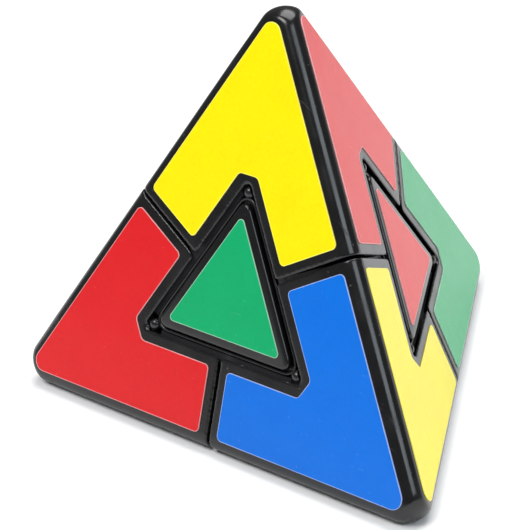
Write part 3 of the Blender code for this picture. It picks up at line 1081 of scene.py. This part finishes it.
@dataclass
class CornerShells(SubAssembly):
    """The four corner pieces: one hollow moulded shell, turned to each vertex."""

    seam_gap: float = 0.12
    opening_gap: float = -0.15
    junction_rounding: float = 1.1
    notch_rounding: float = 0.5
    notch_depth: float = 2.0
    notch_side: float = 2.0
    notch_cover: float = 1.0
    voxel: float = 0.20
    lip_passes: int = 14
    nose_passes: int = 60
    nose_reach: float = 9.0
    triangles: int = 150000
    sweep_steps: int = 180
    hidden_sweep_steps: int = 36
    nose_steps: int = 96
    hidden_nose_steps: int = 24

    def sweep(self, corner: Corner, inset: float, fine: bool) -> Object:
        """All that turns with a corner, as a cutter.

        Args:
            corner: The corner that turns.
            inset: How far the walls that it cuts are moved inwards, in millimetres.
            fine: Whether it shapes a visible surface.

        Returns:
            The solid of revolution.
        """
        gap = self.sizes.half_gap + inset
        outline = self.sizes.sweep_outline(gap, gap, 4)
        if fine:
            outline = self.sizes.sweep_outline(
                self.seam_gap, self.opening_gap, rounding=self.junction_rounding)
        steps = self.sweep_steps if fine else self.hidden_sweep_steps
        return Workshop.lathe(f"sweep_{corner.label}", outline, steps, corner.turn)

    def block(self, inset: float, fine: bool) -> Object:
        """The top corner as one solid.

        Args:
            inset: How far its walls are moved inwards, in millimetres.
            fine: Whether it is the visible outside.

        Returns:
            The solid.
        """
        sizes = self.sizes
        solid = Workshop.tetrahedron("corner_block", sizes.inradius - inset)
        rounding = (sizes.edge_radius - inset) * math.sqrt(2)
        if rounding > 0:
            Workshop.bevel(solid, rounding, 8 if fine else 2, lambda edge: True)
        steps = self.nose_steps if fine else self.hidden_nose_steps
        Workshop.combine(solid, "INTERSECT", Workshop.lathe("nose", sizes.nose_outline(inset), steps))
        apex = (sizes.half_gap + inset) * math.sqrt(1.5)
        wedge = Workshop.frustum("wedge", 0, 2 * math.sqrt(2) * sizes.far, apex, apex + sizes.far, angle=180)
        Workshop.combine(solid, "INTERSECT", wedge)
        for corner in (Corner.LEFT, Corner.RIGHT, Corner.BACK):
            Workshop.combine(solid, "DIFFERENCE", self.sweep(corner, inset, fine))
        seat = Workshop.ball("corner_seat", sizes.corner_inner + inset, 6 if fine else 4)
        Workshop.combine(solid, "DIFFERENCE", seat)
        return solid

    def round_notches(self, solid: Object) -> None:
        """Fill the sharp inner end of the notch on each face with a rounded fillet.

        Args:
            solid: The top corner.
        """
        sizes, radius = self.sizes, self.notch_rounding
        tip = Outlines.polar(2 * sizes.hole_apothem, 90)
        aside, above = Vector((self.notch_side, 0)), Vector((0, self.notch_cover))
        arc = Outlines.arc(tip - Vector((0, 2 * radius)), radius, 30, 150, 12)
        outer = -sizes.inradius
        for side in (Side.LEFT, Side.RIGHT, Side.FRONT):
            points = [tip + aside, *arc, tip - aside, tip + above]
            fill = Workshop.post("notch_fill", points, outer, outer + self.notch_depth)
            for vertex in fill.data.vertices:
                vertex.co.y -= (vertex.co.z - outer * MM) * math.sqrt(0.5)
            fill.data.transform(side.corner_turn(Corner.TOP))
            Workshop.combine(solid, "UNION", fill)

    def build(self) -> None:
        """Model the shell once and put a copy at each vertex."""
        sizes = self.sizes
        shell = self.block(0.0, fine=True)
        self.round_notches(shell)
        Workshop.modify(shell, "REMESH", mode="VOXEL", voxel_size=self.voxel * MM)
        Workshop.smooth(shell, self.lip_passes)
        start, reach = (sizes.vertex_tip - self.nose_reach) * MM, self.nose_reach * MM
        Workshop.smooth(shell, self.nose_passes, lambda point: (point.z - start) / (reach / 2))
        Workshop.lighten(shell, self.triangles)
        Workshop.combine(shell, "DIFFERENCE", self.block(sizes.wall, fine=False))
        hub = Workshop.frustum("hub_opening", sizes.hub_opening, sizes.hub_opening, 0, sizes.hub_top, sides=48)
        Workshop.combine(shell, "DIFFERENCE", hub)
        self.put_all(shell, self.finishes.shell, [
            Placing(f"shell_{corner.label}", corner.turn, f"corner_shell_{corner.label}", "black_plastic",
                    f"corner_{corner.label}") for corner in Corner], angle=40)


@dataclass
class FaceTriangles(SubAssembly):
    """The raised triangle and the base under it in the middle of each face."""

    cap_apothem: float = 9.0
    cap_corner: float = 1.6
    cap_rim: float = 0.45
    cap_foot_depth: float = 1.45
    peg_radius: float = 2.2
    peg_taper: float = 0.94
    peg_root: float = 0.2
    peg_length: float = 2.4
    peg_hole: float = 2.5
    ridge_depth: float = 0.80
    ridge_clearance: float = 0.10
    ridge_width: float = 0.60
    ridge_fall: float = 1.00
    ridge_rim: float = 0.27
    ridge_corner: float = 2.2
    dome_distance: float = 18.6
    dome_radius: float = 1.15
    dome_depth: float = 0.05
    dome_root: float = 2.0
    dome_clearance: float = 0.28
    cell_top: float = 6.0
    tongue_depth: float = 1.5
    tongue_inner: float = 16.7
    tongue_outer: float = 18.3
    tongue_reach: float = 0.8

    @staticmethod
    def cell(name: str, cut: float, inner: float, outer: float) -> Object:
        """The three-sided cell under the base face that the other three cut planes bound.

        Args:
            name: Name of the object.
            cut: Distance of the cut planes from the core, in millimetres.
            inner: Depth of its inner end below the core, in millimetres.
            outer: Depth of its outer end below the core, in millimetres.

        Returns:
            The cell.
        """
        low, high = (2 * (depth / 3 + cut) / TILT_SIN for depth in (outer, inner))
        return Workshop.frustum(name, low, high, -outer, -inner)

    @staticmethod
    def is_side_edge(edge: Edge) -> bool:
        """Whether an edge runs between the two ends of an upright piece."""
        return abs(edge.verts[0].co.z - edge.verts[1].co.z) > MM / 10

    def model_cap(self) -> Object:
        """The raised triangle with its peg.

        Returns:
            The cap of the base face.
        """
        inradius, radius = self.sizes.inradius, 2 * self.cap_apothem
        foot = inradius - self.cap_foot_depth
        cap = Workshop.frustum("cap_blank", radius, radius, -inradius, -foot)
        Workshop.bevel(cap, self.cap_corner * math.sqrt(3), 8, self.is_side_edge)
        Workshop.bevel(cap, self.cap_rim, 5, lambda edge: not self.is_side_edge(edge))
        peg = Workshop.frustum("cap_peg", self.peg_radius, self.peg_radius * self.peg_taper,
                               -foot - self.peg_root, -foot + self.peg_length, sides=48)
        Workshop.combine(cap, "UNION", peg)
        return cap

    def model_dome(self, angle: float) -> Object:
        """A small domed post at a corner of the base.

        Args:
            angle: Its direction from the middle of the face, in degrees.

        Returns:
            The post, as a solid of revolution moved to its corner.
        """
        radius = self.dome_radius
        root = -radius - self.dome_root
        outline = Outlines.arc(Vector((0, -radius)), radius, 90, 0, 18)
        place = Outlines.polar(self.dome_distance, angle)
        level = self.dome_depth - self.sizes.inradius
        moved = Matrix.Translation(Vector((place.x, place.y, level)) * MM)
        return Workshop.lathe("dome", outline + [Vector((radius, root)), Vector((0, root))], 32,
                              moved @ Matrix.Rotation(math.pi, 4, "X"))

    def model_domes(self) -> Object:
        """The three domed posts, trimmed clear of all that passes them as a corner turns.

        Returns:
            The posts, as one object.
        """
        domes = self.model_dome(90)
        for angle in (210, 330):
            Workshop.combine(domes, "UNION", self.model_dome(angle))
        outline = self.sizes.sweep_outline(-self.dome_clearance, -self.dome_clearance, 12)
        for corner in (Corner.LEFT, Corner.RIGHT, Corner.BACK):
            turning = Workshop.lathe(f"dome_trim_{corner.label}", outline, 120, corner.turn)
            Workshop.combine(domes, "INTERSECT", turning)
        return domes

    def model_base(self) -> Object:
        """The base, with a raised, rounded rim round the recess that the cap stands in.

        Returns:
            The base of the base face.
        """
        sizes = self.sizes
        outer = sizes.inradius - self.ridge_depth
        base = self.cell("base_blank", sizes.cut - self.ridge_clearance, self.cell_top, outer)
        Workshop.bevel(base, self.ridge_corner * math.sqrt(3), 8, self.is_side_edge)
        Workshop.edit(base, "FACE", Workshop.faces_down)
        bpy.ops.mesh.inset(thickness=self.ridge_width * MM)
        bpy.ops.mesh.extrude_region_move(TRANSFORM_OT_translate={"value": (0, 0, self.ridge_fall * MM)})
        bpy.ops.object.mode_set(mode="OBJECT")

        def on_ridge(edge: Edge) -> bool:
            """Whether an edge runs along the top of the ridge."""
            return all(abs(vertex.co.z + outer * MM) < NEARLY for vertex in edge.verts) and any(
                abs(face.normal.z) < 0.9 for face in edge.link_faces)

        Workshop.bevel(base, self.ridge_rim, 4, on_ridge)
        tongue = self.cell("tongue", sizes.cut + self.tongue_reach - sizes.half_gap, self.cell_top,
                           outer - self.tongue_depth)
        Workshop.combine(tongue, "INTERSECT", Workshop.ball("tongue_outside", self.tongue_outer))
        Workshop.combine(tongue, "DIFFERENCE", Workshop.ball("tongue_inside", self.tongue_inner))
        Workshop.combine(base, "UNION", tongue)
        Workshop.combine(base, "DIFFERENCE", Workshop.ball("base_seat", sizes.slider_inner))
        Workshop.combine(base, "UNION", self.model_domes())
        hole = Workshop.frustum("peg_hole", self.peg_hole, self.peg_hole, -sizes.far, -1, sides=48)
        Workshop.combine(base, "DIFFERENCE", hole)
        return base

    def build(self) -> None:
        """Model both pieces once and put copies on each face."""
        for kind, blank, finish, slot in (
            ("cap", self.model_cap(), self.finishes.cap, "black_plastic"),
            ("base", self.model_base(), self.finishes.base, "inner_plastic"),
        ):
            self.put_all(blank, finish, [
                Placing(f"{kind}_{side.label}", side.value.turn, f"face_{kind}_{side.label}", slot,
                        f"triangle_{side.label}") for side in Side])


@dataclass
class Stickers(SubAssembly):
    """The twelve notched stickers of the corners and the four triangles of the faces."""

    edge_border: float = 3.3
    seam_border: float = 2.1
    hole_border: float = 2.2
    cap_border: float = 1.65
    notch_flat: float = 4.1
    film_lift: float = 0.17
    film_root: float = 0.03
    # Width of the border that carries the painted edge highlight, in millimetres.
    rim: float = 0.10
    corner_radii: tuple[float, ...] = (2.0, 1.0, 0.9, 1.2, 1.2, 0.9, 1.0)
    face_radius: float = 0.75

    def corner_outline(self) -> Outline:
        """Outline of the back corner's sticker on the base face.

        Returns:
            The outline, with rounded corners and the flat end of its notch.
        """
        face, hole = self.sizes.face_apothem, self.sizes.hole_apothem
        corners = [Outlines.polar(distance, angle) for distance, angle in (
            (2 * face, 90), (face, 150), (hole, 150), (2 * hole, 90), (hole, 30), (face, 30))]
        inner = Outlines.inset(corners, [
            self.edge_border, self.seam_border, self.hole_border,
            self.hole_border, self.seam_border, self.edge_border])
        tip = inner[3]
        flat = [tip + (inner[i] - tip).normalized() * self.notch_flat for i in (2, 4)]
        return Outlines.rounded(inner[:3] + flat + inner[4:], list(self.corner_radii))

    def face_outline(self) -> Outline:
        """Outline of the base face's triangle sticker.

        Returns:
            The outline, with rounded corners.
        """
        radius = 2 * (FaceTriangles.cap_apothem - self.cap_border)
        corners = [Outlines.polar(radius, angle) for angle in (90, 210, 330)]
        return Outlines.rounded(corners, [self.face_radius] * 3)

    def model(self, name: str, outline: Outline, lift: float) -> Object:
        """One sticker under the base face.

        Args:
            name: Name of the object.
            outline: Its outline.
            lift: How far its outer side stands off the plastic, in millimetres.

        Returns:
            The sticker, without its materials.
        """
        inradius = self.sizes.inradius
        sticker = Workshop.plate(name, outline, -inradius - lift, -inradius + self.film_root, self.rim)
        Workshop.smooth_shading(sticker, 50)
        for face in sticker.data.polygons:
            face.use_smooth = abs(face.normal.z) < 0.99
        return sticker

    def build(self) -> None:
        """Model both stickers of a face and put their copies on it, face by face."""
        for side, triangle_colour in TRIANGLE_COLOURS.items():
            lift = self.sizes.sticker_lift if side is Side.BASE else self.film_lift
            corner_blank = self.model("corner_sticker", self.corner_outline(), lift)
            face_blank = self.model("triangle_sticker", self.face_outline(), lift)
            pairs = [(corner_blank, colours[side], Placing(
                f"vinyl_{corner.label}_{side.label}", side.corner_turn(corner),
                f"sticker_{corner.label}_{side.label}", colours[side].slot, f"corner_{corner.label}"))
                for corner, colours in CORNER_COLOURS.items() if side in colours]
            pairs.append((face_blank, triangle_colour, Placing(
                f"vinyl_triangle_{side.label}", side.value.turn, f"face_sticker_{side.label}",
                triangle_colour.slot, f"triangle_{side.label}")))
            for blank, colour, placing in pairs:
                # The second finish is the painted edge highlight on each sticker's rim and cut edge.
                placing.put(blank, self.centre, [self.finishes.vinyl[colour], self.finishes.cut_edge[colour]])
            for blank in (corner_blank, face_blank):
                bpy.data.objects.remove(blank, do_unlink=True)


@dataclass
class EdgeSliders(SubAssembly):
    """The six hidden pieces under the seams, each with a fin that fills the space under its seam.

    Attributes:
        relief_reach: Place of the hollow nearest one end of a slider, in millimetres along the axes of
            that end's corner, the other end's, the corner on its side and the one across from it.
    """

    fin_depth: float = 1.3
    fin_edge: float = 1.2
    fin_gap: float = 0.2
    fin_opening_gap: float = 0.5
    relief_radius: float = 1.9
    relief_reach: tuple[float, ...] = (18.6, -1.725, -2.55, -14.325)
    tongue_inner: float = 16.2
    tongue_outer: float = 18.55
    tongue_reach: float = 0.8

    def static_half(self, corner: Corner) -> Object:
        """What has to stay clear of the slider as a corner beside it turns.

        Args:
            corner: The corner that turns.

        Returns:
            The half beyond the corner's cut plane, with the ring that the face tongues run in.
        """
        far = self.sizes.far
        floor = -self.sizes.cut - self.sizes.half_gap
        groove = floor - self.tongue_reach
        inner = math.sqrt(self.tongue_inner ** 2 - groove ** 2)
        outer = math.sqrt(self.tongue_outer ** 2 - floor ** 2)
        outline = [(0, far), (far, far), (far, floor), (outer, floor), (outer, groove), (inner, groove),
                   (inner, floor), (0, floor)]
        points = [Vector(point) for point in outline]
        return Workshop.lathe(f"static_{corner.label}", points, 96, corner.turn)

    @staticmethod
    def edge_frame(first: Corner, second: Corner) -> Matrix:
        """Axes of an edge.

        Args:
            first: The corner at one end.
            second: The corner at the other end.

        Returns:
            A rotation whose columns point out of the edge's middle, along it and across it.
        """
        out = (first.axis + second.axis).normalized()
        along = (first.axis - second.axis).normalized()
        return Matrix((out, along, out.cross(along))).transposed()

    def relieve(self, slider: Object) -> None:
        """Hollow out the four places where a shell's notch comes near the slider.

        Args:
            slider: The slider between the top and back corners.
        """
        for ends in ((Corner.TOP, Corner.BACK), (Corner.BACK, Corner.TOP)):
            for sides in ((Corner.LEFT, Corner.RIGHT), (Corner.RIGHT, Corner.LEFT)):
                relief = Workshop.ball("relief", self.relief_radius, 4)
                reaches = zip(ends + sides, self.relief_reach)
                place = sum((corner.axis * reach for corner, reach in reaches), Vector())
                relief.data.transform(Matrix.Translation(place * MM))
                Workshop.combine(slider, "DIFFERENCE", relief)

    def model(self) -> Object:
        """The slider between the top and back corners.

        Returns:
            The slider.
        """
        slider = Workshop.tetrahedron("slider_blank", self.sizes.inradius - self.fin_depth)
        Workshop.bevel(slider, self.fin_edge * math.sqrt(2), 6, lambda edge: True)
        outline = self.sizes.sweep_outline(
            -self.fin_gap, -self.fin_opening_gap, 12, CornerShells.junction_rounding)
        for corner in (Corner.TOP, Corner.BACK):
            turning = Workshop.lathe(f"turning_{corner.label}", outline, 120, corner.turn)
            Workshop.combine(slider, "INTERSECT", turning)
        for corner in (Corner.LEFT, Corner.RIGHT):
            Workshop.combine(slider, "DIFFERENCE", self.static_half(corner))
        Workshop.combine(slider, "DIFFERENCE", Workshop.ball("slider_seat", self.sizes.slider_inner))
        self.relieve(slider)
        return slider

    def build(self) -> None:
        """Model the slider once and put a copy under each seam."""
        home = self.edge_frame(Corner.TOP, Corner.BACK).transposed()
        corners = list(Corner)
        placings = []
        for index, first in enumerate(corners):
            for second in corners[index + 1:]:
                name = f"{first.label}_{second.label}"
                turn = (self.edge_frame(first, second) @ home).to_4x4()
                placings.append(Placing(
                    f"slider_{name}", turn, f"edge_slider_{name}", "inner_plastic", f"edge_{name}"))
        self.put_all(self.model(), self.finishes.inner, placings)


@dataclass
class Mechanism:
    """The core, screws, washers, springs and hubs, which keep the frame's own meshes."""

    finishes: Finishes
    nodes: dict[str, Object]

    def build(self) -> None:
        """Give every inner piece its finish."""
        plastic, steel = self.finishes.inner, self.finishes.steel
        kinds = {"core_ball": plastic, "corner_hub": plastic, "core_screw": steel, "screw_washer": steel,
                 "corner_spring": steel}
        for name, obj in self.nodes.items():
            for kind, finish in kinds.items():
                if name.startswith(kind):
                    for slot in obj.material_slots:
                        slot.material = finish
                    LOG.info("%s: %s", name, finish.name)


# ------------------------------------------------------------------ the studio

@dataclass
class Studio:
    """The floor, lights, world and camera."""

    centre: Vector
    azimuth: float = 41.787
    elevation: float = 28.070
    roll: float = -3.993
    distance: float = 451.1
    lens: float = 173.16
    sensor: float = 36
    aim_right: float = -6.424
    aim_up: float = 4.040
    world_strength: float = 0.18
    floor_size: float = 6
    floor_tone: float = 0.93
    floor_roughness: float = 0.85

    @staticmethod
    def direction(azimuth: float, elevation: float) -> Vector:
        """Unit vector from the puzzle at an azimuth and elevation in degrees, azimuth 0 being the front."""
        a, e = math.radians(azimuth), math.radians(elevation)
        return Vector((math.sin(a) * math.cos(e), -math.cos(a) * math.cos(e), math.sin(e)))

    def add_camera(self) -> None:
        """Put the camera at its angle, level with the roll it was held at."""
        azimuth, roll = math.radians(self.azimuth), math.radians(self.roll)
        back = self.direction(self.azimuth, self.elevation)
        right = Vector((math.cos(azimuth), math.sin(azimuth), 0))
        up = back.cross(right)
        tilted_right = right * math.cos(roll) + up * math.sin(roll)
        tilted_up = up * math.cos(roll) - right * math.sin(roll)
        aim = self.centre + tilted_right * self.aim_right * MM + tilted_up * self.aim_up * MM
        place = Matrix((tilted_right, tilted_up, back)).transposed().to_4x4()
        place.translation = aim + back * self.distance * MM
        Workshop.clear_selection()
        bpy.ops.object.camera_add()
        camera = bpy.context.active_object
        camera.name = "view_camera"
        camera.matrix_world = place
        camera.data.lens = self.lens
        camera.data.sensor_width = self.sensor
        camera.data.clip_start = 0.01
        bpy.context.scene.camera = camera

    def add_light(
        self, name: str, azimuth: float, elevation: float, distance: float, size: tuple[float, float],
        power: float, colour: Rgb = (1, 1, 1)
    ) -> None:
        """Add a soft rectangular light that points at the puzzle.

        Args:
            name: Name of the light.
            azimuth: Its direction round the puzzle, as the camera's is counted, in degrees.
            elevation: Its height above the horizon, in degrees.
            distance: How far it stands, in metres.
            size: Its width and height, in metres.
            power: Its power, in watts.
            colour: Its colour.
        """
        out = self.direction(azimuth, elevation)
        Workshop.clear_selection()
        bpy.ops.object.light_add(type="AREA", location=self.centre + out * distance)
        light = bpy.context.active_object
        light.name = name
        light.rotation_euler = out.to_track_quat("Z", "Y").to_euler()
        light.data.shape = "RECTANGLE"
        light.data.size, light.data.size_y = size
        light.data.energy = power
        light.data.color = colour

    def add_floor(self) -> None:
        """A wide plain floor with a matt surface."""
        Workshop.clear_selection()
        bpy.ops.mesh.primitive_plane_add(size=self.floor_size)
        floor = Workshop.name_new("studio_floor")
        Workshop.pick(floor)
        bpy.ops.object.mode_set(mode="EDIT")
        bpy.ops.mesh.select_all(action="SELECT")
        bpy.ops.mesh.subdivide(number_cuts=4)
        bpy.ops.object.mode_set(mode="OBJECT")
        material = bpy.data.materials.new("studio_paper")
        material.use_nodes = True
        shader = material.node_tree.nodes["Principled BSDF"]
        shader.inputs["Base Color"].default_value = (*[self.floor_tone] * 3, 1)
        shader.inputs["Roughness"].default_value = self.floor_roughness
        floor.data.materials.append(material)

    def build(self) -> None:
        """Set up the whole studio."""
        scene = bpy.context.scene
        world = bpy.data.worlds.new("studio_surroundings")
        world.use_nodes = True
        world.node_tree.nodes["Background"].inputs["Color"].default_value = (1, 1, 1, 1)
        world.node_tree.nodes["Background"].inputs["Strength"].default_value = self.world_strength
        scene.world = world
        scene.view_settings.view_transform = "Standard"
        self.add_floor()
        self.add_light("overhead_softbox", 190, 66, 0.9, (0.7, 0.7), 7.5)
        self.add_light("front_softbox", -15, 56, 0.9, (0.5, 0.4), 5.2)
        self.add_light("side_window", 79, 39, 0.9, (0.58, 0.34), 2.5, (0.84, 0.93, 1.0))
        self.add_camera()


def main() -> None:
    """Build the puzzle sub-assembly by sub-assembly, and then the studio round it."""
    logging.basicConfig(level=logging.INFO, format="%(name)s: %(message)s")
    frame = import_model()
    joints = frame["record"]["behaviour"]["joints"]
    centre = Vector(next(joint["pos_m"] for joint in joints if joint["name"] == "turn_top"))
    sizes, finishes = PuzzleSizes(), Finishes()
    Studio(centre).build()
    CornerShells(sizes, finishes, centre).build()
    FaceTriangles(sizes, finishes, centre).build()
    EdgeSliders(sizes, finishes, centre).build()
    Stickers(sizes, finishes, centre).build()
    Mechanism(finishes, frame["nodes"]).build()
    Workshop.clear_selection()


if __name__ == "__main__":
    main()
